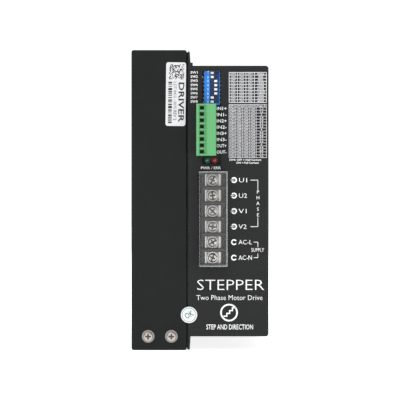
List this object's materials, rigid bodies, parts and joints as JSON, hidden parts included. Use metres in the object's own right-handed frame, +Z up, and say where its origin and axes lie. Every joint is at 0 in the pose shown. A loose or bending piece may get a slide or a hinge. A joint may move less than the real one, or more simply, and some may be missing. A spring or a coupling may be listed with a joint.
{
  "type": "stepper motor driver module",
  "caption": "Mains-fed stepper motor driver: fan-cooled heat sink duct beside a folded case with slide switches, a pluggable signal connector, lamps and covered screw terminals.",
  "frame": {"origin": "centre of the four tapped mounting holes, on the flat back of the heat sink", "axes": "+Z up along the unit, +Y out of the back towards the panel it is screwed to, -Y towards the front panel, +X to the right seen from the front"},
  "size_m": [0.0866, 0.1364, 0.184],
  "materials": {
    "duct_black": "fine matte black powder coat",
    "case_black": "fine matte black powder coat",
    "black_anodised": "black anodised extrusion",
    "steel": "zinc plated steel",
    "black_screw": "black oxide",
    "fan_black": "moulded, fine texture",
    "board_green": "solder mask over glass laminate",
    "dip_blue": "moulded, satin",
    "slider_white": "moulded",
    "tin": "tinned",
    "connector_green": "moulded, satin",
    "terminal_black": "moulded, satin",
    "plated_brass": "nickel plated",
    "clear": "clear moulded",
    "led_green": "tinted epoxy",
    "led_red": "tinted epoxy",
    "rubber_black": "matte",
    "lead_sleeve": "matte sleeve",
    "plug_white": "moulded nylon",
    "device_black": "moulded epoxy",
    "pad_grey": "silicone pad",
    "can_sleeve": "shrink sleeve",
    "ferrite": "ferrite core",
    "film_yellow": "moulded box",
    "relay_blue": "moulded box",
    "fuse_glass": "ceramic tube"
  },
  "bodies": {
    "unit": {"heat_sink": "black_anodised", "chassis": "case_black", "case_shell": "case_black", "case_screws": "black_screw", "chassis_screws": "steel", "fan_cover": "duct_black", "cover_screws": "steel", "cover_washers": "steel", "cover_foot": "steel", "cover_foot_screws": "steel", "fan_frame": "fan_black", "fan_screws": "black_screw", "fan_lead": "lead_sleeve", "fan_plug": "plug_white", "lead_grommet": "rubber_black", "front_board": "board_green", "power_board": "board_green", "board_standoffs": "steel", "board_screws": "steel", "dip_body": "dip_blue", "dip_pins": "tin", "signal_header": "connector_green", "header_pins": "tin", "green_led": "led_green", "red_led": "led_red", "led_holder": "device_black", "terminal_block": "terminal_black", "terminal_bars": "plated_brass", "terminal_clamps": "steel", "power_transistors": "device_black", "insulating_pad": "pad_grey", "clamp_bar": "steel", "clamp_bar_screws": "steel", "bulk_capacitors": "can_sleeve", "transformer": "ferrite", "line_choke": "ferrite", "film_capacitor": "film_yellow", "relay": "relay_blue", "fuse": "fuse_glass", "rectifier": "device_black", "board_link": "device_black"},
    "plug": {"signal_plug": "connector_green", "plug_contacts": "plated_brass", "plug_screws": "steel"},
    "cover": {"terminal_cover": "clear"},
    "rotor": {"fan_rotor": "fan_black"},
    "slider_1": {"dip_slider_1": "slider_white"},
    "slider_2": {"dip_slider_2": "slider_white"},
    "slider_3": {"dip_slider_3": "slider_white"},
    "slider_4": {"dip_slider_4": "slider_white"},
    "slider_5": {"dip_slider_5": "slider_white"},
    "slider_6": {"dip_slider_6": "slider_white"},
    "slider_7": {"dip_slider_7": "slider_white"},
    "slider_8": {"dip_slider_8": "slider_white"},
    "screw_1": {"terminal_screw_1": "steel"},
    "screw_2": {"terminal_screw_2": "steel"},
    "screw_3": {"terminal_screw_3": "steel"},
    "screw_4": {"terminal_screw_4": "steel"},
    "screw_5": {"terminal_screw_5": "steel"},
    "screw_6": {"terminal_screw_6": "steel"}
  },
  "joints": [
    {"name": "slider_1_travel", "type": "slide", "parent": "unit", "child": "slider_1", "axis": [1, 0, 0], "range_m": [0, 0.0022]},
    {"name": "slider_2_travel", "type": "slide", "parent": "unit", "child": "slider_2", "axis": [1, 0, 0], "range_m": [0, 0.0022]},
    {"name": "slider_3_travel", "type": "slide", "parent": "unit", "child": "slider_3", "axis": [1, 0, 0], "range_m": [-0.0022, 0]},
    {"name": "slider_4_travel", "type": "slide", "parent": "unit", "child": "slider_4", "axis": [1, 0, 0], "range_m": [-0.0022, 0]},
    {"name": "slider_5_travel", "type": "slide", "parent": "unit", "child": "slider_5", "axis": [1, 0, 0], "range_m": [-0.0022, 0]},
    {"name": "slider_6_travel", "type": "slide", "parent": "unit", "child": "slider_6", "axis": [1, 0, 0], "range_m": [-0.0022, 0]},
    {"name": "slider_7_travel", "type": "slide", "parent": "unit", "child": "slider_7", "axis": [1, 0, 0], "range_m": [0, 0.0022]},
    {"name": "slider_8_travel", "type": "slide", "parent": "unit", "child": "slider_8", "axis": [1, 0, 0], "range_m": [0, 0.0022]},
    {"name": "screw_1_turn", "type": "hinge", "parent": "unit", "child": "screw_1", "pos_m": [0.03275, -0.126, 0.01225], "axis": [0, -1, 0], "range_deg": [0, 720]},
    {"name": "screw_2_turn", "type": "hinge", "parent": "unit", "child": "screw_2", "pos_m": [0.03275, -0.126, 0.00275], "axis": [0, -1, 0], "range_deg": [0, 720]},
    {"name": "screw_3_turn", "type": "hinge", "parent": "unit", "child": "screw_3", "pos_m": [0.03275, -0.126, -0.00675], "axis": [0, -1, 0], "range_deg": [0, 720]},
    {"name": "screw_4_turn", "type": "hinge", "parent": "unit", "child": "screw_4", "pos_m": [0.03275, -0.126, -0.01625], "axis": [0, -1, 0], "range_deg": [0, 720]},
    {"name": "screw_5_turn", "type": "hinge", "parent": "unit", "child": "screw_5", "pos_m": [0.03275, -0.126, -0.02575], "axis": [0, -1, 0], "range_deg": [0, 720]},
    {"name": "screw_6_turn", "type": "hinge", "parent": "unit", "child": "screw_6", "pos_m": [0.03275, -0.126, -0.03525], "axis": [0, -1, 0], "range_deg": [0, 720]},
    {"name": "plug_pull", "type": "slide", "parent": "unit", "child": "plug", "axis": [0, -1, 0], "range_m": [0, 0.012]},
    {"name": "cover_hinge", "type": "hinge", "parent": "unit", "child": "cover", "pos_m": [0.02525, -0.1286, -0.0115], "axis": [0, 0, -1], "range_deg": [0, 100]},
    {"name": "rotor_spin", "type": "hinge", "parent": "unit", "child": "rotor", "pos_m": [-0.00805, -0.063, 0], "axis": [1, 0, 0], "continuous": true}
  ]
}
